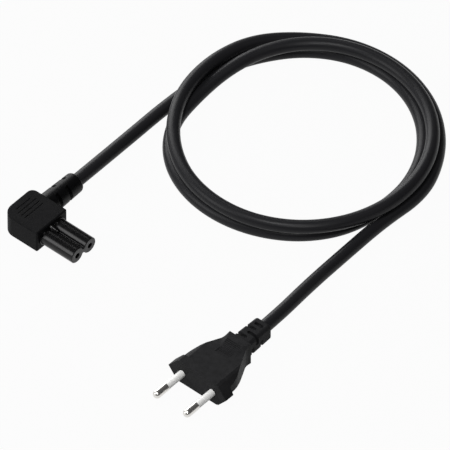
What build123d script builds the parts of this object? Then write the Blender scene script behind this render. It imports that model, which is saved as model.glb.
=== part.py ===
from build123d import *
import math
import os

# A mains cord: a flat two-pin plug, a round two-core cord that lies in a coil, and a
# right-angled connector with a two-hole nose. Lengths are in millimetres.
# It lies on the plane z = 0 with +Z up. The pins point along -Y and the nose along +X.
# The origin is on that plane, under the middle of the plug's flange.

# Cord
cord_diameter = 6.5
core_diameter = 2.4
core_spacing = 2.5
strands_diameter = 1.1
coil_radius = 59.2
coil_y = 145.6
coil_web = 1.2
coil_sideways = 3.6
bend_share = 0.45

# Plug body
flange_width = 34.6
flange_height = 13.0
flange_flat = 22.6
body_flat = 20.8
flange_depth = 5.1
flange_edge = 0.3
ridge_run = 1.3
ridge_drop = 0.6
step_run = 1.2
step_drop = 1.4
waist_width = 28.8
shoulder_width = 27.4
shoulder_at = 11.5
shoulder_round = 14.0
grip_start = 18.2
neck_width = 12.6
neck_height = 12.4
neck_at = 26.5
neck_round = 8.0
neck_end = 29.8
pad_front_width = 7.8
pad_back_width = 9.4
pad_foot_width = 16.0
pad_foot_rise = 0.2
scoop_start = 16.6
scoop_depth = 0.4
grip_line_length = 8.2
grip_line_width = 0.4
grip_line_depth = 0.25
grip_line_pitch = 0.9
grip_line_count = 3

# Plug boot
boot_length = 16.2
boot_root_width = 10.0
boot_root_height = 9.4
boot_tip_width = 9.2
boot_tip_height = 8.8
boot_corner = 1.8
boot_tip_round = 0.9
boot_rows = 3
boot_row_pitch = 3.2
boot_first_row = 3.1
boot_slot_width = 1.8
boot_slot_floor = 0.2
boot_slot_overlap = 0.2
boot_eye_length = 4.8

# Plug pins, sleeves, bridge and leads
pin_spacing = 18.0
pin_diameter = 4.0
pin_length = 19.0
pin_shank_diameter = 3.0
sleeve_diameter = 3.6
sleeve_length = 10.8
sleeve_seat = 3.0
sleeve_groove_at = 6.5
sleeve_groove_width = 0.4
sleeve_groove_depth = 0.12
bridge_width = 24.4
bridge_depth = 6.0
bridge_height = 7.6
barrel_diameter = 3.4
barrel_length = 4.0
strands_seat = 3.0
strands_bare = 1.0
plug_lead_straight = 1.0
plug_lead_bend = 2.5
plug_lead_end_run = 3.0
sheath_inset = 0.8

# Connector housing
connector_x = -125.4
housing_y = 16.3
housing_length = 21.3
housing_width = 20.8
housing_height = 12.0
housing_setback = 8.8
housing_outer_corner = 6.3
housing_cord_corner = 3.3
housing_edge = 0.8
grip_groove_length = 12.5
grip_groove_short = 9.9
grip_groove_width = 0.4
grip_groove_depth = 0.3
grip_groove_pitch = 2.15
grip_groove_count = 4
grip_groove_setback = 10.8
grip_groove_start = 4.2

# Connector nose and contacts
nose_length = 19.1
nose_lobe_radius = 3.95
nose_hole_spacing = 8.6
nose_web = 2.7
nose_web_round = 0.5
nose_tip_edge = 0.25
nose_seat = 5.0
collar_proud = 0.6
collar_width = 0.5
ramp_radius = 2.0
ramp_tip_radius = 0.3
ramp_length = 4.0
hole_diameter = 2.9
hole_depth = 1.5
contact_diameter = 3.5
contact_bore = 2.44
contact_bore_depth = 12.0
contact_back = 5.0
crimp_diameter = 2.8
crimp_length = 5.0
connector_lead_gap = 1.0
connector_lead_bend = 2.2

# Connector boot
relief_length = 20.6
relief_root_diameter = 11.2
relief_tip_diameter = 10.1
relief_tip_round = 1.8
relief_seat = 2.5
relief_seat_diameter = 10.0
relief_rows = 4
relief_first_row = 4.6
relief_row_pitch = 3.4
relief_slot_width = 1.85
relief_slot_floor = 0.45
relief_spine = 3.4

# Places that follow from those sizes
face_y = -flange_depth / 2
plug_z = flange_height / 2
pin_sides = {"live": -1, "neutral": 1}
grip_run = neck_at - grip_start
body_half_height = plug_z - step_drop
pad_half_height = body_half_height - scoop_depth
grip_rise = neck_height / 2 - pad_half_height
body_end_y = face_y + neck_end
boot_end_y = body_end_y + boot_length
sheath_end_y = body_end_y - sheath_inset
bridge_y = face_y + sleeve_seat
bridge_end_y = bridge_y + bridge_depth
barrel_end_y = bridge_end_y + barrel_length
lead_start_y = barrel_end_y + strands_bare
connector_z = housing_height / 2
housing_back_x = connector_x - housing_setback
housing_front_x = housing_back_x + housing_length
housing_end_y = housing_y + housing_width
nose_y = housing_y + housing_width / 2
nose_tip_x = housing_front_x + nose_length
contact_front_x = nose_tip_x - hole_depth
contact_end_x = contact_front_x - contact_bore_depth - contact_back
crimp_end_x = contact_end_x - crimp_length
cord_inner_y = housing_end_y - relief_seat
cord_radius = cord_diameter / 2
coil_x = -(coil_radius + cord_radius + coil_sideways)
upper_turn_z = cord_radius + cord_diameter * math.sin(math.radians(60))

# Routes of the two straight stretches, from each end's boot to the coil
plug_route = [
    (0, sheath_end_y, plug_z),
    (0, 51.5, plug_z),
    (-1.8, 78.5, 4.7),
    (-3.1, 105.5, cord_radius),
    (-coil_sideways, 132.0, cord_radius),
]
connector_route = [
    (connector_x, cord_inner_y, connector_z),
    (connector_x, 65.0, connector_z),
    (connector_x - 1.5, 95.5, 3.9),
    (connector_x - 2.3, 124.5, cord_radius),
]


def rod(diameter, start, end):
    """A round bar between two points."""
    line = Vector(end) - Vector(start)
    return extrude(Plane(origin=start, z_dir=line) * Circle(diameter / 2), amount=line.length)


def block(low, high):
    """A box between two corners."""
    size = Vector(high) - Vector(low)
    middle = (Vector(high) + Vector(low)) * 0.5
    return Pos(middle) * Box(size.X, size.Y, size.Z)


def across_y(x, y, z):
    """A drawing plane square to the Y axis, with its own x along X and its y along Z."""
    return Plane(origin=(x, y, z), x_dir=(1, 0, 0), z_dir=(0, -1, 0))


def across_x(x, y, z):
    """A drawing plane square to the X axis, with its own x along Y and its y along Z."""
    return Plane(origin=(x, y, z), x_dir=(0, 1, 0), z_dir=(1, 0, 0))


def bend_radii(route):
    """The largest even bend at each inner point of a route."""
    points = [Vector(point) for point in route]
    radii = []
    for before, here, after in zip(points, points[1:], points[2:]):
        turn = (here - before).get_angle(after - here)
        shorter = min((here - before).length, (after - here).length)
        radii.append(bend_share * shorter / math.tan(math.radians(turn / 2)))
    return radii


def along(path, diameter):
    """A round bar swept along a path."""
    return sweep(Plane(origin=path @ 0, z_dir=path % 0) * Circle(diameter / 2), path=path)


def cord_stretch(name, route):
    """A stretch of the cord along its route, with its bends and its volume printed."""
    radii = bend_radii(route)
    path = FilletPolyline(*route, radius=radii)
    stretch = along(path, cord_diameter)
    section = math.pi * cord_radius**2
    print(name, "bend radii", [round(radius) for radius in radii])
    print(name, "volume", round(stretch.volume, 1), "section by length", round(section * path.length, 1))
    return stretch


def mirrored_outline(half):
    """All points of a symmetric outline, from those of its right half, which ends on the middle line."""
    left = [(-x, y) for x, y in reversed(half) if x > 0]
    return half + left


def make_pin(x):
    """A turned pin: a full-size round end, a thinner shank and a crimp barrel."""
    tip_y = face_y - pin_length
    ball_y = tip_y + pin_diameter / 2
    shank_y = face_y - sleeve_length
    end = rod(pin_diameter, (x, ball_y, plug_z), (x, shank_y, plug_z))
    end += Pos(x, ball_y, plug_z) * Sphere(pin_diameter / 2)
    shank = rod(pin_shank_diameter, (x, shank_y, plug_z), (x, bridge_end_y, plug_z))
    barrel = rod(barrel_diameter, (x, bridge_end_y, plug_z), (x, barrel_end_y, plug_z))
    pin = end + shank + barrel
    return pin - make_plug_strands(x)


def make_sleeve(x):
    """An insulating sleeve on the pin's shank, with a fine ring round it."""
    outer_y = face_y - sleeve_length
    sleeve = rod(sleeve_diameter, (x, outer_y, plug_z), (x, bridge_y, plug_z))
    sleeve -= rod(pin_shank_diameter, (x, outer_y, plug_z), (x, bridge_y, plug_z))
    ring_y = face_y - sleeve_groove_at
    ring_end_y = ring_y - sleeve_groove_width
    ring = rod(2 * sleeve_diameter, (x, ring_y, plug_z), (x, ring_end_y, plug_z))
    ring -= rod(sleeve_diameter - 2 * sleeve_groove_depth, (x, ring_y, plug_z), (x, ring_end_y, plug_z))
    return sleeve - ring


def make_plug_strands(x):
    """The bared copper strands, crimped into the pin's barrel."""
    seat_y = barrel_end_y - strands_seat
    return rod(strands_diameter, (x, seat_y, plug_z), (x, lead_start_y, plug_z))


def make_plug_lead(side):
    """An insulated core from the pin's barrel in to the cord's own pair."""
    x = side * pin_spacing / 2
    inner_x = side * core_spacing / 2
    route = [
        (x, lead_start_y, plug_z),
        (x, lead_start_y + plug_lead_straight, plug_z),
        (inner_x, sheath_end_y - plug_lead_end_run, plug_z),
        (inner_x, sheath_end_y, plug_z),
    ]
    return along(FilletPolyline(*route, radius=plug_lead_bend), core_diameter)


def make_bridge(pins):
    """The hard carrier that holds both pins behind the plug's face."""
    bridge = block(
        (-bridge_width / 2, bridge_y, plug_z - bridge_height / 2),
        (bridge_width / 2, bridge_end_y, plug_z + bridge_height / 2),
    )
    for pin in pins:
        bridge -= pin
    return bridge


def plug_plan():
    """The plug's outline from above: flange, waist, sloping shoulders and neck."""
    half = [
        (0, 0),
        (flange_width / 2, 0),
        (flange_width / 2, flange_depth),
        (waist_width / 2, flange_depth + step_run),
        (shoulder_width / 2, shoulder_at),
        (neck_width / 2, neck_at),
        (neck_width / 2, neck_end),
        (0, neck_end),
    ]
    radii = [0, flange_edge, flange_edge, shoulder_round, neck_round, 0]
    edge = FilletPolyline(*half, radius=radii)
    face = make_face(edge + Line(half[-1], half[0]))
    return Pos(0, face_y) * (face + mirror(face, about=Plane.YZ))


def plug_section(y, flat, inset):
    """The plug across its length: flat above and below, a ridge strip, and pointed at both sides."""
    ridge_x = flat / 2 + ridge_run
    half = [
        (0, inset),
        (flat / 2, inset),
        (ridge_x, inset + ridge_drop),
        (flange_width / 2, plug_z),
        (ridge_x, flange_height - inset - ridge_drop),
        (flat / 2, flange_height - inset),
        (0, flange_height - inset),
    ]
    outline = Polyline(*mirrored_outline(half), close=True)
    return across_y(0, y, 0) * make_face(outline)


def pad_section(y, top_width, half_height, foot_height):
    """The raised grip across its length: a flat pad above and below, with sloping sides."""
    half = [
        (0, -half_height),
        (top_width / 2, -half_height),
        (pad_foot_width / 2, -foot_height),
        (pad_foot_width / 2, foot_height),
        (top_width / 2, half_height),
        (0, half_height),
    ]
    outline = Polyline(*mirrored_outline(half), close=True)
    return across_y(0, face_y + y, plug_z) * make_face(outline)


def make_pads():
    """The raised grip, which climbs from the plug's flat sides to the neck."""
    neck_half = neck_height / 2
    low = pad_section(grip_start, pad_front_width, pad_half_height, pad_half_height - pad_foot_rise)
    high = pad_section(neck_at, pad_back_width, neck_half, body_half_height - pad_foot_rise)
    last = pad_section(neck_end, neck_width, neck_half, neck_half - pad_foot_rise)
    return loft([low.face(), high.face(), last.face()], ruled=True)


def make_scoops():
    """The shallow hollows in front of the pads, above and below."""
    level_y = grip_start + grip_run * scoop_depth / grip_rise
    outline = [
        (face_y + scoop_start, body_half_height),
        (face_y + grip_start, pad_half_height),
        (face_y + level_y, body_half_height),
        (face_y + level_y, plug_z),
        (face_y + scoop_start, plug_z),
    ]
    side_view = across_x(0, 0, plug_z) * make_face(Polyline(*outline, close=True))
    scoop = extrude(side_view, amount=pad_front_width / 2, both=True)
    return scoop + mirror(scoop, about=Plane.XY.offset(plug_z))


def grip_lines():
    """Fine cross grooves near the top of both pads."""
    slope = math.degrees(math.atan2(grip_rise, grip_run))
    cutter = None
    for i in range(grip_line_count):
        along_grip = grip_run - (i + 1) * grip_line_pitch
        y = face_y + grip_start + along_grip
        height = pad_half_height + grip_rise * along_grip / grip_run
        line = Box(grip_line_length, grip_line_width, 2 * grip_line_depth)
        top = Pos(0, y, plug_z + height) * Rot(slope, 0, 0) * line
        bottom = Pos(0, y, plug_z - height) * Rot(-slope, 0, 0) * line
        cutter = top + bottom if cutter is None else cutter + top + bottom
    return cutter


def boot_slot(y, start_x, end_x, top):
    """A slot with round ends across the boot, above or below, down to a thin wall round the cord."""
    low_y = y - boot_slot_width / 2
    high_y = y + boot_slot_width / 2
    outer_z = plug_z + top * boot_root_height
    floor = cord_radius + boot_slot_floor
    slot = block(
        (min(start_x, end_x), low_y, min(plug_z, outer_z)),
        (max(start_x, end_x), high_y, max(plug_z, outer_z)),
    )
    for x in (start_x, end_x):
        slot += rod(boot_slot_width, (x, y, plug_z), (x, y, outer_z))
    core = rod(2 * floor, (0, low_y, plug_z), (0, high_y, plug_z))
    return slot - core


def make_plug_boot():
    """The boot that eases the cord out of the plug: slots by turns left and right, then an eye."""
    root_plane = across_y(0, body_end_y, plug_z)
    tip_plane = across_y(0, boot_end_y, plug_z)
    root = root_plane * RectangleRounded(boot_root_width, boot_root_height, boot_corner)
    tip = tip_plane * RectangleRounded(boot_tip_width, boot_tip_height, boot_corner)
    boot = loft([root.face(), tip.face()])
    boot = fillet(boot.faces().sort_by(Axis.Y)[-1].edges(), boot_tip_round)
    first_y = body_end_y + boot_first_row
    for row in range(boot_rows):
        for top in (-1, 1):
            side = top if row % 2 else -top
            y = first_y + row * boot_row_pitch
            boot -= boot_slot(y, -side * boot_slot_overlap, side * boot_root_width, top)
    eye_y = first_y + boot_rows * boot_row_pitch
    eye_x = (boot_eye_length - boot_slot_width) / 2
    for top in (-1, 1):
        boot -= boot_slot(eye_y, -eye_x, eye_x, top)
    return boot


def make_plug_body(inside):
    """The moulded plug body and its boot, in one piece, round everything inside it."""
    flange = extrude(plug_section(face_y, flange_flat, 0), amount=-flange_depth)
    back = plug_section(face_y + flange_depth, body_flat, step_drop)
    back = extrude(back, amount=flange_depth - neck_end)
    back = back - make_scoops() + make_pads()
    body = (flange + back) & extrude(plug_plan(), amount=flange_height)
    body = fillet(body.faces().sort_by(Axis.Y)[0].edges(), flange_edge)
    body -= grip_lines()
    body += make_plug_boot()
    for piece in inside:
        body -= piece
    return body


def nose_section():
    """The nose's outline: two round lobes joined by a thin web."""
    offset_y = nose_hole_spacing / 2
    lobes = Pos(-offset_y, 0) * Circle(nose_lobe_radius) + Pos(offset_y, 0) * Circle(nose_lobe_radius)
    lobes += Rectangle(nose_hole_spacing, nose_web)
    corners = lobes.vertices().filter_by(lambda corner: abs(corner.X) < offset_y)
    return fillet(corners, nose_web_round)


def make_contact(y):
    """A turned socket contact with a crimp at its back."""
    contact = rod(contact_diameter, (contact_front_x, y, connector_z), (contact_end_x, y, connector_z))
    contact += rod(crimp_diameter, (contact_end_x, y, connector_z), (crimp_end_x, y, connector_z))
    bore_end_x = contact_front_x - contact_bore_depth
    contact -= rod(contact_bore, (contact_front_x, y, connector_z), (bore_end_x, y, connector_z))
    return contact - make_connector_strands(y)


def make_connector_strands(y):
    """The bared copper strands, crimped into the contact."""
    seat_x = crimp_end_x + strands_seat
    end_x = crimp_end_x - connector_lead_gap
    return rod(strands_diameter, (seat_x, y, connector_z), (end_x, y, connector_z))


def make_connector_lead(y, side):
    """An insulated core from the contact round to the cord's own pair."""
    x = connector_x + side * core_spacing / 2
    route = [
        (crimp_end_x - connector_lead_gap, y, connector_z),
        (x, y, connector_z),
        (x, cord_inner_y, connector_z),
    ]
    return along(FilletPolyline(*route, radius=connector_lead_bend), core_diameter)


def make_nose(contacts):
    """The hard two-lobed nose, its collar and the ramps at the roots of its grooves."""
    back_x = housing_front_x - nose_seat
    lobes = across_x(back_x, nose_y, connector_z) * nose_section()
    nose = extrude(lobes, amount=nose_seat + nose_length)
    nose = chamfer(nose.faces().sort_by(Axis.X)[-1].outer_wire().edges(), nose_tip_edge)
    collar = across_x(back_x, nose_y, connector_z) * offset(nose_section(), amount=collar_width)
    nose += extrude(collar, amount=nose_seat + collar_proud)
    for up in (-1, 1):
        ramp_z = connector_z + up * (nose_lobe_radius - ramp_radius)
        ramp_plane = across_x(housing_front_x, nose_y, ramp_z)
        nose += ramp_plane * Cone(
            ramp_radius, ramp_tip_radius, ramp_length, align=(Align.CENTER, Align.CENTER, Align.MIN)
        )
    for y in contacts:
        nose -= rod(hole_diameter, (nose_tip_x, y, connector_z), (contact_front_x, y, connector_z))
        nose -= rod(contact_diameter, (contact_front_x, y, connector_z), (contact_end_x, y, connector_z))
        nose -= rod(crimp_diameter, (contact_end_x, y, connector_z), (crimp_end_x, y, connector_z))
        nose -= make_connector_strands(y)
    return nose


def make_relief():
    """The round slotted boot that eases the cord out of the connector."""
    outline = [
        (0, -relief_seat),
        (relief_seat_diameter / 2, -relief_seat),
        (relief_seat_diameter / 2, 0),
        (relief_root_diameter / 2, 0),
        (relief_tip_diameter / 2, relief_length),
        (0, relief_length),
    ]
    edge = FilletPolyline(*outline, radius=[0, 0, 0, relief_tip_round])
    half = make_face(edge + Line(outline[-1], outline[0]))
    seat = Pos(connector_x, housing_end_y, connector_z)
    relief = seat * revolve(half, axis=Axis.Y)
    floor = cord_diameter + 2 * relief_slot_floor
    for row in range(relief_rows):
        y = housing_end_y + relief_first_row + row * relief_row_pitch
        low_y = y - relief_slot_width / 2
        high_y = y + relief_slot_width / 2
        side = 1 if row % 2 == 0 else -1
        near_x = connector_x
        far_x = connector_x + side * relief_root_diameter
        slot = block(
            (min(near_x, far_x), low_y, connector_z - relief_root_diameter),
            (max(near_x, far_x), high_y, connector_z + relief_root_diameter),
        )
        spine = block(
            (connector_x - relief_spine / 2, low_y, connector_z - relief_root_diameter),
            (connector_x + relief_spine / 2, high_y, connector_z + relief_root_diameter),
        )
        core = rod(floor, (connector_x, low_y, connector_z), (connector_x, high_y, connector_z))
        relief -= slot - spine - core
    return relief


def make_housing(inside):
    """The moulded housing that turns the cord through a right angle."""
    plan = FilletPolyline(
        (housing_back_x, housing_y),
        (housing_back_x, housing_end_y),
        (housing_front_x, housing_end_y),
        (housing_front_x, housing_y),
        radius=[housing_outer_corner, housing_cord_corner, housing_edge, housing_edge],
        close=True,
    )
    housing = extrude(make_face(plan), amount=housing_height)
    top = housing.faces().sort_by(Axis.Z)[-1]
    bottom = housing.faces().sort_by(Axis.Z)[0]
    housing = fillet(top.edges() + bottom.edges(), housing_edge)
    for i in range(grip_groove_count):
        x = housing_front_x - grip_groove_setback - i * grip_groove_pitch
        last = i == grip_groove_count - 1
        length = grip_groove_short if last else grip_groove_length
        start_y = housing_y + grip_groove_start + (grip_groove_length - length) / 2
        housing -= block(
            (x - grip_groove_width / 2, start_y, housing_height - grip_groove_depth),
            (x + grip_groove_width / 2, start_y + length, housing_height + grip_groove_depth),
        )
    for piece in inside:
        housing -= piece
    return housing


def make_coil():
    """The coil as one ring: two turns on the surface and one lying in the groove above them."""
    turns = [
        (coil_radius - cord_radius, cord_radius),
        (coil_radius + cord_radius, cord_radius),
        (coil_radius, upper_turn_z),
    ]
    section = offset(make_face(Polyline(*turns, close=True)), amount=coil_web)
    for turn in turns:
        section += Pos(*turn) * Circle(cord_radius)
    return Pos(coil_x, coil_y, 0) * revolve(Plane.XZ * section, axis=Axis.Z)


pieces = {}

coil = make_coil()
plug_run = cord_stretch("cord_plug_run", plug_route)
connector_run = cord_stretch("cord_connector_run", connector_route)
pieces["cord_coil"] = coil
pieces["cord_plug_run"] = plug_run - coil
pieces["cord_connector_run"] = connector_run - coil

for name, side in pin_sides.items():
    x = side * pin_spacing / 2
    pieces["plug_pin_" + name] = make_pin(x)
    pieces["plug_sleeve_" + name] = make_sleeve(x)
    pieces["plug_strands_" + name] = make_plug_strands(x)
    pieces["plug_lead_" + name] = make_plug_lead(side)
plug_pins = [pieces["plug_pin_" + name] for name in pin_sides]
pieces["plug_bridge"] = make_bridge(plug_pins)
plug_inside = [piece for name, piece in pieces.items() if name.startswith("plug_")]
pieces["plug_body"] = make_plug_body(plug_inside + [plug_run])

contact_ys = []
for name, side in pin_sides.items():
    y = nose_y - side * nose_hole_spacing / 2
    contact_ys.append(y)
    pieces["connector_contact_" + name] = make_contact(y)
    pieces["connector_strands_" + name] = make_connector_strands(y)
    pieces["connector_lead_" + name] = make_connector_lead(y, -side)
pieces["connector_nose"] = make_nose(contact_ys)
pieces["connector_boot"] = make_relief() - connector_run
connector_inside = [piece for name, piece in pieces.items() if name.startswith("connector_")]
pieces["connector_housing"] = make_housing(connector_inside + [connector_run])

os.makedirs("parts", exist_ok=True)
for name, piece in pieces.items():
    export_step(piece, "parts/" + name + ".step")
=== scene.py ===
import math

import bmesh
import bpy
from mathutils import Matrix, Vector


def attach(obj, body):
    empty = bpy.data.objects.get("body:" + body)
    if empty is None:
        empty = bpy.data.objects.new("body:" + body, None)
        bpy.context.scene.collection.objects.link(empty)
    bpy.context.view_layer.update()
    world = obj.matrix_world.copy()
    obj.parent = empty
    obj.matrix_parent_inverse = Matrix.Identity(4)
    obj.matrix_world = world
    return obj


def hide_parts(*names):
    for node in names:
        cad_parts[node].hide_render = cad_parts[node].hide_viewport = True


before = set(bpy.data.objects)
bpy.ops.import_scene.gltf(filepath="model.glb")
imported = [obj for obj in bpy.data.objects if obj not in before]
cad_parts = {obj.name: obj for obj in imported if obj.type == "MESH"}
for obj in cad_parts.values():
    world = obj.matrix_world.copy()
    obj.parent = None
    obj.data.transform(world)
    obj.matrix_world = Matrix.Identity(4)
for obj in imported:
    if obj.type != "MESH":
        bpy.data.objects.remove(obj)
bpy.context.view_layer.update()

bl_info = {
    "name": "Power cord",
    "version": (1, 0, 0),
    "blender": (4, 5, 0),
    "location": "View3D > Sidebar > Power cord",
    "description": "Dresses a mains cord with a flat plug and a right-angled connector",
    "category": "Object",
}

mm = 0.001


# Sizes and colours

class CordSizes(bpy.types.PropertyGroup):
    """Sizes of the cord and of its coil."""

    diameter: bpy.props.FloatProperty(
        name="Cord diameter", description="Diameter of the cord's sheath",
        default=6.5 * mm, unit="LENGTH",
    )
    coil_x: bpy.props.FloatProperty(
        name="Coil X", description="Middle of the coil, across",
        default=-66.05 * mm, unit="LENGTH",
    )
    coil_y: bpy.props.FloatProperty(
        name="Coil Y", description="Middle of the coil, along",
        default=145.6 * mm, unit="LENGTH",
    )
    real_length: bpy.props.FloatProperty(
        name="Cord length", description="Length of the cord from end to end",
        default=1.16, unit="LENGTH",
    )


class PadSizes(bpy.types.PropertyGroup):
    """Sizes of the studded grip pads on the plug."""

    columns: bpy.props.IntProperty(
        name="Columns", description="Studs across a pad", default=9, min=2
    )
    rows: bpy.props.IntProperty(
        name="Rows", description="Rows of studs on a pad", default=6, min=2
    )
    pitch: bpy.props.FloatProperty(
        name="Pitch", description="Distance between studs", default=0.84 * mm, unit="LENGTH"
    )
    stud: bpy.props.FloatProperty(
        name="Stud width", description="Width of a stud at its foot",
        default=0.62 * mm, unit="LENGTH",
    )
    height: bpy.props.FloatProperty(
        name="Stud height", description="Height of a stud over the pad",
        default=0.16 * mm, unit="LENGTH",
    )
    sunk: bpy.props.FloatProperty(
        name="Stud root", description="Depth of a stud's root in the pad",
        default=0.1 * mm, unit="LENGTH",
    )


class Finishes(bpy.types.PropertyGroup):
    """Colours of the object's materials, as sRGB hex values."""

    moulded_black: bpy.props.StringProperty(
        name="Moulded PVC", description="Plug body", default="#222223"
    )
    housing_black: bpy.props.StringProperty(
        name="Housing PVC", description="Connector housing", default="#131314"
    )
    gloss_black: bpy.props.StringProperty(
        name="Gloss PVC", description="Connector nose and boot", default="#040405"
    )
    sheath_black: bpy.props.StringProperty(
        name="Sheath", description="Sheath of the cord", default="#1f1f21"
    )
    nickel: bpy.props.StringProperty(
        name="Nickel", description="Bare ends of the pins", default="#e4e2de"
    )
    sleeve_white: bpy.props.StringProperty(
        name="Sleeve", description="Insulating sleeves on the pins", default="#f0f0ee"
    )
    carrier_grey: bpy.props.StringProperty(
        name="Carrier", description="Carrier that holds the pins", default="#949597"
    )
    brass: bpy.props.StringProperty(
        name="Brass", description="Contacts of the connector", default="#d8b36a"
    )
    copper: bpy.props.StringProperty(
        name="Copper", description="Bare strands", default="#c8805a"
    )
    core_brown: bpy.props.StringProperty(
        name="Live core", description="Brown core", default="#5a3420"
    )
    core_blue: bpy.props.StringProperty(
        name="Neutral core", description="Blue core", default="#23559c"
    )


class StageSizes(bpy.types.PropertyGroup):
    """The camera and the floor."""

    azimuth: bpy.props.FloatProperty(
        name="Azimuth", description="Camera's turn about the upright",
        default=math.radians(41), subtype="ANGLE",
    )
    elevation: bpy.props.FloatProperty(
        name="Elevation", description="Camera's height over the horizon",
        default=math.radians(45.83), subtype="ANGLE",
    )
    distance: bpy.props.FloatProperty(
        name="Distance", description="Camera's distance from the object",
        default=9.0, unit="LENGTH",
    )
    across: bpy.props.FloatProperty(
        name="View width", description="Width of the view at the object",
        default=204.545 * mm, unit="LENGTH",
    )
    target: bpy.props.FloatVectorProperty(
        name="Target", description="Point in the middle of the view",
        default=(-56.3 * mm, 81.4 * mm, 5.5 * mm), subtype="TRANSLATION",
    )
    floor_size: bpy.props.FloatProperty(
        name="Floor", description="Side of the floor", default=40.0, unit="LENGTH"
    )
    floor_colour: bpy.props.StringProperty(
        name="Floor colour", description="Floor under the white glow", default="#8c8c8c"
    )


# Small helpers

def linear(hex_colour):
    """An sRGB hex colour as linear red, green, blue and alpha."""
    parts = [int(hex_colour[i:i + 2], 16) / 255 for i in (1, 3, 5)]
    return [p / 12.92 if p <= 0.04045 else ((p + 0.055) / 1.055) ** 2.4 for p in parts] + [1.0]


def toned(colour, share):
    """A linear colour made darker or lighter by a share."""
    return [part * share for part in colour[:3]] + [1.0]


def add_node(tree, kind, values=None, links=None, **settings):
    """Adds a node with its settings, its constant inputs and its links."""
    node = tree.nodes.new(kind)
    for name, value in settings.items():
        setattr(node, name, value)
    for socket, value in (values or {}).items():
        node.inputs[socket].default_value = value
    for socket, source in (links or {}).items():
        tree.links.new(source, node.inputs[socket])
    return node


def new_object(name, data):
    """A new object in the scene's own collection."""
    made = bpy.data.objects.new(name, data)
    bpy.context.scene.collection.objects.link(made)
    return made


def apply_modifiers(piece):
    """Gives a piece the plain mesh that its modifiers make."""
    before = piece.data
    graph = bpy.context.evaluated_depsgraph_get()
    after = bpy.data.meshes.new_from_object(piece.evaluated_get(graph))
    piece.modifiers.clear()
    piece.data = after
    bpy.data.meshes.remove(before)
    after.name = piece.name


# Materials

# Most values of a noise pattern lie between these two.
noise_span = (0.3, 0.7)
# A wave pattern's scale is this share of one over the distance between its lines.
wave_share = 0.314
# The sheath's streaks: 60 along its 1.16 m, so about 19 mm long, and 26 round its 20.4 mm,
# so about 0.8 mm wide.
streaks_along = 60.0
streaks_round = 26.0


def new_material(name):
    """A new material with its tree and its empty surface shader."""
    material = bpy.data.materials.new(name)
    material.use_nodes = True
    tree = material.node_tree
    return material, tree, tree.nodes["Principled BSDF"]


def drive_shader(
    tree, shader, tone, colours, gloss, rough, relief, depth_mm,
    tone_span=noise_span, gloss_span=noise_span,
):
    """Drives a shader's colour, roughness and relief by the patterns of three nodes."""
    ramp = add_node(tree, "ShaderNodeValToRGB", links={"Fac": tone.outputs["Fac"]})
    for stop, position, colour in zip(ramp.color_ramp.elements, tone_span, colours):
        stop.position = position
        stop.color = colour
    roughness = add_node(
        tree, "ShaderNodeMapRange",
        {
            "From Min": gloss_span[0], "From Max": gloss_span[1],
            "To Min": rough[0], "To Max": rough[1],
        },
        {"Value": gloss.outputs["Fac"]},
    )
    bump = add_node(
        tree, "ShaderNodeBump", {"Strength": 1.0, "Distance": depth_mm * mm},
        {"Height": relief.outputs["Fac"]},
    )
    tree.links.new(ramp.outputs["Color"], shader.inputs["Base Color"])
    tree.links.new(roughness.outputs["Result"], shader.inputs["Roughness"])
    tree.links.new(bump.outputs["Normal"], shader.inputs["Normal"])


def grained_plastic(
    name, hex_colour, tones, patch_mm, grain_mm, depth_mm, rough, spread, specular
):
    """A plastic with two-tone mottling, an uneven gloss and a fine grain in relief."""
    material, tree, shader = new_material(name)
    place = add_node(tree, "ShaderNodeTexCoord").outputs["Object"]
    patches = add_node(
        tree, "ShaderNodeTexNoise",
        {"Scale": 1 / (patch_mm * mm), "Detail": 4.0, "Roughness": 0.6}, {"Vector": place},
    )
    grain = add_node(
        tree, "ShaderNodeTexNoise",
        {"Scale": 1 / (grain_mm * mm), "Detail": 2.0, "Roughness": 0.5}, {"Vector": place},
    )
    drive_shader(
        tree, shader,
        tone=patches, colours=[toned(linear(hex_colour), share) for share in tones],
        gloss=grain, rough=(rough - spread, rough + spread),
        relief=grain, depth_mm=depth_mm,
    )
    shader.inputs["Specular IOR Level"].default_value = specular
    return material


def moulded_pvc(name, hex_colour):
    """Black PVC moulded in a spark-eroded mould."""
    # The mould leaves an even fine grain, so the flats look soft grey-black with faint mottling.
    # Its grain of about 0.1 mm is drawn at 0.45 mm, because a finer one doesn't show.
    return grained_plastic(
        name, hex_colour, tones=(0.8, 1.2), patch_mm=3.0, grain_mm=0.45, depth_mm=0.012,
        rough=0.52, spread=0.06, specular=0.05,
    )


def gloss_pvc(name, hex_colour, rough, specular):
    """Black hard PVC moulded in a polished mould."""
    # A polished mould gives deep black with bright strips and a slight ripple.
    return grained_plastic(
        name, hex_colour, tones=(0.85, 1.15), patch_mm=4.0, grain_mm=1.6, depth_mm=0.002,
        rough=rough, spread=0.03, specular=specular,
    )


def plain_plastic(name, hex_colour, rough):
    """A plain moulded or extruded plastic with a fine skin and faint clouding."""
    # Its skin of about 0.1 mm is drawn at 0.4 mm, because a finer one doesn't show.
    return grained_plastic(
        name, hex_colour, tones=(0.94, 1.0), patch_mm=2.0, grain_mm=0.4, depth_mm=0.004,
        rough=rough, spread=0.04, specular=0.5,
    )


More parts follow.
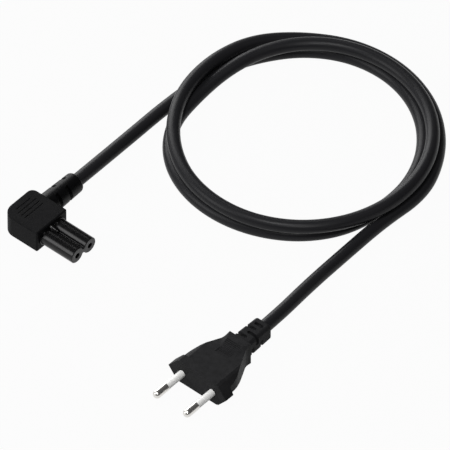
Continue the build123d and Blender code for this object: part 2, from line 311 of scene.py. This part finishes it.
def extruded_pvc(name, hex_colour):
    """Flexible black PVC, extruded as the cord's sheath."""
    # Extrusion leaves a satin skin with faint streaks along the cord.
    # The streaks run with the sheath's own map: U goes along the cord and V round it.
    # The skin's texture of about 0.05 mm is drawn at 0.4 mm, because a finer one doesn't show.
    material, tree, shader = new_material(name)
    colour = linear(hex_colour)
    place = add_node(tree, "ShaderNodeTexCoord").outputs
    mapped = add_node(
        tree, "ShaderNodeMapping", {"Scale": (streaks_along, streaks_round, 1.0)},
        {"Vector": place["UV"]},
    )
    streaks = add_node(
        tree, "ShaderNodeTexNoise", {"Scale": 1.0, "Detail": 3.0, "Roughness": 0.55},
        {"Vector": mapped.outputs["Vector"]},
    )
    skin = add_node(
        tree, "ShaderNodeTexNoise", {"Scale": 1 / (0.4 * mm), "Detail": 2.0},
        {"Vector": place["Object"]},
    )
    drive_shader(
        tree, shader,
        tone=streaks, tone_span=(0.25, 0.75), colours=(toned(colour, 0.85), toned(colour, 1.15)),
        gloss=streaks, rough=(0.33, 0.40),
        relief=skin, depth_mm=0.004,
    )
    shader.inputs["Specular IOR Level"].default_value = 0.13
    return material


def turned_metal(name, hex_colour, rough, line_mm):
    """A turned metal: fine rings from the lathe and small changes of gloss."""
    # Rings of about 0.1 mm are drawn three to five times as far apart, so that they show.
    material, tree, shader = new_material(name)
    colour = linear(hex_colour)
    place = add_node(tree, "ShaderNodeTexCoord").outputs["Object"]
    rings = add_node(
        tree, "ShaderNodeTexWave",
        {"Scale": wave_share / (line_mm * mm), "Distortion": 0.6, "Detail": 1.0},
        {"Vector": place}, wave_type="BANDS", bands_direction="Y",
    )
    patches = add_node(
        tree, "ShaderNodeTexNoise", {"Scale": 1 / (1.5 * mm), "Detail": 3.0}, {"Vector": place}
    )
    whole_span = (0.0, 1.0)
    drive_shader(
        tree, shader,
        tone=patches, tone_span=whole_span, colours=(toned(colour, 0.92), colour),
        gloss=patches, gloss_span=whole_span, rough=(rough - 0.04, rough + 0.05),
        relief=rings, depth_mm=0.002,
    )
    shader.inputs["Metallic"].default_value = 1.0
    return material


material_names = {}


def make_materials(finishes):
    """Makes all the materials and keeps their names by slot."""
    made = {
        "moulded_black": moulded_pvc("pvc_moulded_black", finishes.moulded_black),
        # The connector's housing gets the same moulded PVC as the plug, in a darker tone.
        "housing_black": moulded_pvc("pvc_housing_black", finishes.housing_black),
        "hard_black": gloss_pvc(
            "pvc_gloss_black", finishes.gloss_black, rough=0.26, specular=0.30
        ),
        # The boot flexes, so it is softer and less shiny than the nose.
        "boot_black": gloss_pvc(
            "pvc_soft_black", finishes.gloss_black, rough=0.42, specular=0.15
        ),
        "cord_sheath": extruded_pvc("pvc_extruded_black", finishes.sheath_black),
        # Bright nickel plate over brass: a pale mirror, dulled a little by the lathe's rings.
        "nickel": turned_metal("nickel_plate", finishes.nickel, rough=0.28, line_mm=0.35),
        # Nylon sleeves: white, slightly waxy.
        "sleeve_white": plain_plastic("nylon_white", finishes.sleeve_white, rough=0.42),
        # Hard carrier: plain grey plastic.
        "carrier_grey": plain_plastic("pbt_grey", finishes.carrier_grey, rough=0.45),
        # Turned brass: yellow metal with fine rings.
        "contact_brass": turned_metal("brass_turned", finishes.brass, rough=0.25, line_mm=0.4),
        # Bare copper strands: reddish metal with a dull skin.
        "strand_copper": turned_metal("copper_bare", finishes.copper, rough=0.35, line_mm=0.5),
        # Core insulation: coloured PVC with a smooth extruded skin.
        "core_brown": plain_plastic("pvc_core_brown", finishes.core_brown, rough=0.35),
        "core_blue": plain_plastic("pvc_core_blue", finishes.core_blue, rough=0.35),
    }
    for slot, material in made.items():
        material_names[slot] = material.name


def material_for(slot):
    """The material of a slot. The first call makes them all."""
    if material_names.get(slot, "") not in bpy.data.materials:
        make_materials(bpy.context.scene.cord_finishes)
    return bpy.data.materials[material_names[slot]]


# Pieces from CAD nodes

# Corners within weld_distance are joined, and so are faces within flat_angle of each other.
# Edges sharper than round_angle are rounded.
weld_distance = 0.002 * mm
flat_angle = math.radians(1)
round_angle = math.radians(40)
round_segments = 2


def dress(node, slot):
    """Gives a CAD node its material."""
    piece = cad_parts[node]
    piece.data.materials.clear()
    piece.data.materials.append(material_for(slot))


def softened(node, name, slot, edge_mm, smooth_degrees=35, finish=None, merge_flats=True):
    """A welded copy of a CAD node with small rounds on its edges, which stands for the node."""
    mesh = bpy.data.meshes.new(name)
    shape = bmesh.new()
    shape.from_mesh(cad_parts[node].data)
    bmesh.ops.remove_doubles(shape, verts=shape.verts, dist=weld_distance)
    if merge_flats:
        bmesh.ops.dissolve_limit(
            shape, angle_limit=flat_angle, verts=shape.verts, edges=shape.edges
        )
    shape.to_mesh(mesh)
    shape.free()
    piece = new_object(name, mesh)
    bevel = piece.modifiers.new("rounded edges", "BEVEL")
    bevel.width = edge_mm * mm
    bevel.segments = round_segments
    bevel.limit_method = "ANGLE"
    bevel.angle_limit = round_angle
    bevel.miter_outer = "MITER_ARC"
    bevel.use_clamp_overlap = True
    apply_modifiers(piece)
    for polygon in piece.data.polygons:
        polygon.use_smooth = True
    piece.data.set_sharp_from_angle(angle=math.radians(smooth_degrees))
    # Normals weighted by area keep the flats even beside the rounds.
    piece.modifiers.new("even flats", "WEIGHTED_NORMAL").keep_sharp = True
    apply_modifiers(piece)
    piece.data.materials.clear()
    piece.data.materials.append(material_for(finish or slot))
    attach(piece, "root")
    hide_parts(node)


# The cord's route from the part's source, in millimetres. Near the coil, the points on the
# plug's side are moved by less than 2 mm to follow the photograph.

connector_route = [
    (-125.4, 34.6, 6.0),
    (-125.4, 65.0, 6.0),
    (-126.9, 95.5, 3.9),
    (-127.7, 124.5, 3.25),
]
plug_route = [
    (0.0, 26.45, 6.5),
    (0.0, 51.5, 6.5),
    (-3.0, 78.5, 4.9),
    (-4.7, 105.5, 3.25),
    (-5.2, 132.0, 3.25),
]

# The coil's turns: the radius and the height of the cord's middle in millimetres, at the middle
# of each step of coil_step degrees. The second turn climbs onto the first, and the last half
# turn comes down outside it.
coil_step = 20
coil_stations = [
    (59.4, 3.25), (57.9, 3.25), (58.5, 3.34), (59.0, 3.33), (58.5, 3.28), (57.3, 3.29),
    (56.2, 3.27), (55.5, 3.25), (55.4, 3.25), (55.5, 3.25), (57.9, 3.25), (58.7, 3.25),
    (59.0, 3.26), (59.6, 3.25), (60.4, 3.25), (60.6, 3.25), (59.3, 3.25), (54.9, 4.12),
    (53.3, 7.69), (54.5, 9.62), (56.7, 9.92), (58.2, 9.83), (59.0, 9.68), (59.5, 9.56),
    (60.0, 9.52), (60.2, 9.63), (60.3, 9.81), (60.3, 9.86), (60.3, 9.75), (60.1, 9.72),
    (59.7, 9.70), (59.1, 9.68), (58.6, 9.49), (58.2, 9.51), (58.6, 9.84), (59.5, 9.92),
    (60.6, 9.92), (64.0, 7.19), (65.6, 3.50), (65.7, 3.33), (64.9, 3.27), (63.8, 3.25),
    (63.0, 3.25), (62.7, 3.29), (63.3, 3.27),
]
sheath_resolution = 8


class CORD_OT_cord(bpy.types.Operator):
    """Lays the cord from the connector round the coil to the plug"""

    bl_idname = "power_cord.cord"
    bl_label = "Cord"

    def execute(self, context):
        sizes = context.scene.cord_sizes
        points = [Vector(point) * mm for point in connector_route]
        half_step = math.radians(coil_step / 2)
        for i, (radius, height) in enumerate(coil_stations):
            # The curve touches the lines between its control points at their middles, so the
            # points lie outside it.
            reach = radius * mm / math.cos(half_step)
            turn = math.pi - math.radians(coil_step * (i + 0.5))
            points.append(Vector((
                sizes.coil_x + reach * math.cos(turn),
                sizes.coil_y + reach * math.sin(turn),
                height * mm,
            )))
        points += [Vector(point) * mm for point in reversed(plug_route)]
        curve = bpy.data.curves.new("cord_sheath", "CURVE")
        curve.dimensions = "3D"
        curve.bevel_depth = sizes.diameter / 2
        curve.bevel_resolution = sheath_resolution
        curve.resolution_u = sheath_resolution
        curve.use_fill_caps = True
        spline = curve.splines.new("NURBS")
        spline.points.add(len(points) - 1)
        for control, point in zip(spline.points, points):
            control.co = (*point, 1.0)
        spline.order_u = 3
        spline.use_endpoint_u = True
        spline.use_smooth = True
        curve.materials.append(material_for("cord_sheath"))
        cord = new_object("cord_sheath", curve)
        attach(cord, "root")
        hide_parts("cord_connector_run", "cord_coil", "cord_plug_run")
        return {"FINISHED"}


class CORD_OT_plug_body(bpy.types.Operator):
    """Dresses the plug's moulded body"""

    bl_idname = "power_cord.plug_body"
    bl_label = "Plug body"

    def execute(self, context):
        softened(
            "plug_body", "plug_moulding", "moulded_black", 0.15, smooth_degrees=8,
            merge_flats=False,
        )
        return {"FINISHED"}


# The radii of a stud's square foot and head, as shares of its width

foot_share = 0.7071
head_share = 0.36
stud_sides = 4


def pad_tree():
    """A node tree that sets studs on a flat grid, square to Z and centred on the origin."""
    tree = bpy.data.node_groups.new("grip studs", "GeometryNodeTree")
    face = tree.interface
    for name, kind in (
        ("Columns", "NodeSocketInt"), ("Rows", "NodeSocketInt"), ("Pitch", "NodeSocketFloat"),
        ("Stud Width", "NodeSocketFloat"), ("Stud Height", "NodeSocketFloat"),
        ("Material", "NodeSocketMaterial"),
    ):
        face.new_socket(name, in_out="INPUT", socket_type=kind)
    face.new_socket("Geometry", in_out="OUTPUT", socket_type="NodeSocketGeometry")
    given = add_node(tree, "NodeGroupInput").outputs
    spans = []
    for count in ("Columns", "Rows"):
        gaps = add_node(
            tree, "ShaderNodeMath", {1: 1.0}, {0: given[count]}, operation="SUBTRACT"
        )
        span = add_node(
            tree, "ShaderNodeMath", links={0: gaps.outputs[0], 1: given["Pitch"]},
            operation="MULTIPLY",
        )
        spans.append(span.outputs[0])
    grid = add_node(
        tree, "GeometryNodeMeshGrid",
        links={
            "Size X": spans[0], "Size Y": spans[1],
            "Vertices X": given["Columns"], "Vertices Y": given["Rows"],
        },
    )
    foot, head = (
        add_node(
            tree, "ShaderNodeMath", {1: share}, {0: given["Stud Width"]}, operation="MULTIPLY"
        ).outputs[0]
        for share in (foot_share, head_share)
    )
    stud = add_node(
        tree, "GeometryNodeMeshCone", {"Vertices": stud_sides},
        {"Radius Top": head, "Radius Bottom": foot, "Depth": given["Stud Height"]},
        fill_type="NGON",
    )
    rows = add_node(
        tree, "GeometryNodeInstanceOnPoints",
        links={"Points": grid.outputs["Mesh"], "Instance": stud.outputs["Mesh"]},
    )
    solid = add_node(
        tree, "GeometryNodeRealizeInstances", links={"Geometry": rows.outputs["Instances"]}
    )
    painted = add_node(
        tree, "GeometryNodeSetMaterial",
        links={"Geometry": solid.outputs["Geometry"], "Material": given["Material"]},
    )
    add_node(tree, "NodeGroupOutput", links={"Geometry": painted.outputs["Geometry"]})
    return tree


# The middle of the upper pad's studs and its slope, from the plug's sizes in the part's source,
# in millimetres

pad_middle = (0.0, 18.3, 11.68)
pad_rise = 1.5
pad_run = 8.3
plug_axis_z = 6.5


class CORD_OT_grip_pads(bpy.types.Operator):
    """Sets the studs on the plug's two grip pads"""

    bl_idname = "power_cord.grip_pads"
    bl_label = "Grip pads"

    def execute(self, context):
        sizes = context.scene.pad_sizes
        material = material_for("moulded_black")
        tree = pad_tree()
        piece = new_object("plug_grip_studs", bpy.data.meshes.new("plug_grip_studs"))
        modifier = piece.modifiers.new("studs", "NODES")
        modifier.node_group = tree
        wanted = {
            "Columns": sizes.columns, "Rows": sizes.rows, "Pitch": sizes.pitch,
            "Stud Width": sizes.stud, "Stud Height": sizes.height + sizes.sunk,
            "Material": material,
        }
        for item in tree.interface.items_tree:
            if item.in_out == "INPUT":
                modifier[item.identifier] = wanted[item.name]
        apply_modifiers(piece)
        slope = Matrix.Rotation(math.atan2(pad_rise, pad_run), 4, "X")
        upper = Matrix.Translation(Vector(pad_middle) * mm) @ slope
        upper = upper @ Matrix.Translation((0, 0, -sizes.sunk))
        axis = Vector((0, 0, plug_axis_z * mm))
        half_turn = (
            Matrix.Translation(axis) @ Matrix.Rotation(math.pi, 4, "Y")
            @ Matrix.Translation(-axis)
        )
        both = bmesh.new()
        for place in (upper, half_turn @ upper):
            pad = piece.data.copy()
            pad.transform(place)
            both.from_mesh(pad)
            bpy.data.meshes.remove(pad)
        both.to_mesh(piece.data)
        both.free()
        piece.data.materials.clear()
        piece.data.materials.append(material)
        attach(piece, "root")
        return {"FINISHED"}


class CORD_OT_pins(bpy.types.Operator):
    """Dresses the plug's pins and their sleeves"""

    bl_idname = "power_cord.pins"
    bl_label = "Pins and sleeves"

    def execute(self, context):
        for side in ("live", "neutral"):
            softened(f"plug_pin_{side}", f"plug_pin_metal_{side}", "nickel", 0.08)
            softened(f"plug_sleeve_{side}", f"plug_pin_sleeve_{side}", "sleeve_white", 0.06)
        return {"FINISHED"}


class CORD_OT_connector(bpy.types.Operator):
    """Dresses the connector's housing, nose and boot"""

    bl_idname = "power_cord.connector"
    bl_label = "Connector"

    def execute(self, context):
        softened(
            "connector_housing", "connector_moulding", "moulded_black", 0.12,
            finish="housing_black",
        )
        softened("connector_nose", "connector_front", "hard_black", 0.12, merge_flats=False)
        softened("connector_boot", "connector_relief", "hard_black", 0.25, finish="boot_black")
        return {"FINISHED"}


class CORD_OT_inner_pieces(bpy.types.Operator):
    """Dresses the pieces inside the plug and the connector"""

    bl_idname = "power_cord.inner_pieces"
    bl_label = "Inner pieces"

    def execute(self, context):
        dress("plug_bridge", "carrier_grey")
        for side, core in (("live", "core_brown"), ("neutral", "core_blue")):
            for end in ("plug", "connector"):
                dress(f"{end}_lead_{side}", core)
                dress(f"{end}_strands_{side}", "strand_copper")
            dress(f"connector_contact_{side}", "contact_brass")
        return {"FINISHED"}


class CORD_OT_declare_cord(bpy.types.Operator):
    """Gathers the names of the pieces at the plug's end of the cord, and does nothing more with
    them
    """

    bl_idname = "power_cord.declare_cord"
    bl_label = "Cord facts"

    def execute(self, context):
        names = ["plug_moulding", "plug_grip_studs", "plug_bridge"]
        for side in ("live", "neutral"):
            names += [f"plug_pin_metal_{side}", f"plug_pin_sleeve_{side}"]
            names += [f"plug_lead_{side}", f"plug_strands_{side}"]
        return {"FINISHED"}


# Stage

sensor_width = 36.0
# How far the camera sees, in its own distances from the object
clip_share = 3
# The share of white that the eye sees on the floor. The rest keeps the shadow.
floor_glow = 0.96
world_strength = 0.08

# Square lamps: the direction from the object, the side in metres and the strength in watts
lamp_distance = 1.4
lamps = {
    "back softbox": ((-0.87, 0.32, 0.40), 1.0, 14.5),
    "side softbox": ((-0.52, -0.72, 0.46), 0.8, 9.0),
    "top softbox": ((0.06, -0.36, 0.93), 0.3, 7.8),
    "front softbox": ((0.42, -0.49, 0.77), 0.3, 4.5),
}


def add_camera(scene, stage):
    """Adds the camera, which looks at the target from afar."""
    back = Vector((
        math.sin(stage.azimuth) * math.cos(stage.elevation),
        -math.cos(stage.azimuth) * math.cos(stage.elevation),
        math.sin(stage.elevation),
    ))
    eye = bpy.data.cameras.new("camera")
    eye.sensor_width = sensor_width
    eye.lens = eye.sensor_width * stage.distance / stage.across
    eye.clip_end = clip_share * stage.distance
    camera = new_object("camera", eye)
    camera.location = Vector(stage.target) + back * stage.distance
    camera.rotation_euler = back.to_track_quat("Z", "Y").to_euler()
    scene.camera = camera


def white_share(tree):
    """One where a ray comes from the camera, a reflection or a clear piece, otherwise nought."""
    path = add_node(tree, "ShaderNodeLightPath").outputs
    seen = add_node(
        tree, "ShaderNodeMath", links={0: path["Is Camera Ray"], 1: path["Is Glossy Ray"]},
        operation="ADD",
    )
    return add_node(
        tree, "ShaderNodeMath", links={0: seen.outputs[0], 1: path["Is Transmission Ray"]},
        operation="ADD", use_clamp=True,
    ).outputs[0]


def paper(hex_colour):
    """Pale matte paper: white to the eye, with a faint shadow under the object."""
    material, tree, shader = new_material("paper_white")
    shader.inputs["Base Color"].default_value = linear(hex_colour)
    shader.inputs["Roughness"].default_value = 0.9
    shader.inputs["Specular IOR Level"].default_value = 0.1
    glow = add_node(tree, "ShaderNodeEmission", {"Color": (1, 1, 1, 1), "Strength": 1.0})
    share = add_node(
        tree, "ShaderNodeMath", {1: floor_glow}, {0: white_share(tree)}, operation="MULTIPLY"
    )
    mixed = add_node(
        tree, "ShaderNodeMixShader",
        links={0: share.outputs[0], 1: shader.outputs["BSDF"], 2: glow.outputs["Emission"]},
    )
    tree.links.new(mixed.outputs["Shader"], tree.nodes["Material Output"].inputs["Surface"])
    return material


def add_floor(stage):
    """Adds the floor, one square face at nought."""
    half = stage.floor_size / 2
    corners = [(-half, -half, 0), (half, -half, 0), (half, half, 0), (-half, half, 0)]
    mesh = bpy.data.meshes.new("floor")
    mesh.from_pydata(corners, [], [(0, 1, 2, 3)])
    mesh.materials.append(paper(stage.floor_colour))
    new_object("floor", mesh)


def add_light(scene, target):
    """Adds a faint even light from all round, and the lamps, which the camera doesn't see."""
    world = bpy.data.worlds.new("studio")
    world.use_nodes = True
    background = world.node_tree.nodes["Background"]
    background.inputs["Color"].default_value = (1, 1, 1, 1)
    background.inputs["Strength"].default_value = world_strength
    scene.world = world
    for name, (direction, side, watts) in lamps.items():
        light = bpy.data.lights.new(name, "AREA")
        light.shape = "SQUARE"
        light.size = side
        light.energy = watts
        lamp = new_object(name, light)
        toward = Vector(direction).normalized()
        lamp.location = target + toward * lamp_distance
        lamp.rotation_euler = toward.to_track_quat("Z", "Y").to_euler()
        lamp.visible_camera = False


class CORD_OT_stage(bpy.types.Operator):
    """Sets up the camera, the floor and the light"""

    bl_idname = "power_cord.stage"
    bl_label = "Stage"

    def execute(self, context):
        stage = context.scene.stage_sizes
        add_camera(context.scene, stage)
        add_floor(stage)
        add_light(context.scene, Vector(stage.target))
        context.scene.view_settings.view_transform = "Standard"
        return {"FINISHED"}


class CORD_PT_panel(bpy.types.Panel):
    """Lists the steps and the sizes of the power cord"""

    bl_label = "Power cord"
    bl_idname = "CORD_PT_panel"
    bl_space_type = "VIEW_3D"
    bl_region_type = "UI"
    bl_category = "Power cord"

    def draw(self, context):
        for group in property_groups:
            box = self.layout.box()
            owner = getattr(context.scene, group)
            for name in owner.bl_rna.properties.keys():
                if name not in ("rna_type", "name"):
                    box.prop(owner, name)
        for operator in operators:
            self.layout.operator(operator.bl_idname)


property_groups = {
    "cord_sizes": CordSizes,
    "pad_sizes": PadSizes,
    "cord_finishes": Finishes,
    "stage_sizes": StageSizes,
}
operators = (
    CORD_OT_stage,
    CORD_OT_cord,
    CORD_OT_plug_body,
    CORD_OT_grip_pads,
    CORD_OT_pins,
    CORD_OT_connector,
    CORD_OT_inner_pieces,
    CORD_OT_declare_cord,
)


def register():
    for name, group in property_groups.items():
        bpy.utils.register_class(group)
        setattr(bpy.types.Scene, name, bpy.props.PointerProperty(type=group))
    for operator in operators:
        bpy.utils.register_class(operator)
    bpy.utils.register_class(CORD_PT_panel)


def unregister():
    bpy.utils.unregister_class(CORD_PT_panel)
    for operator in reversed(operators):
        bpy.utils.unregister_class(operator)
    for name, group in property_groups.items():
        delattr(bpy.types.Scene, name)
        bpy.utils.unregister_class(group)


def main():
    register()
    bpy.ops.power_cord.stage()
    bpy.ops.power_cord.cord()
    bpy.ops.power_cord.plug_body()
    bpy.ops.power_cord.grip_pads()
    bpy.ops.power_cord.pins()
    bpy.ops.power_cord.connector()
    bpy.ops.power_cord.inner_pieces()
    bpy.ops.power_cord.declare_cord()


if __name__ == "__main__":
    main()
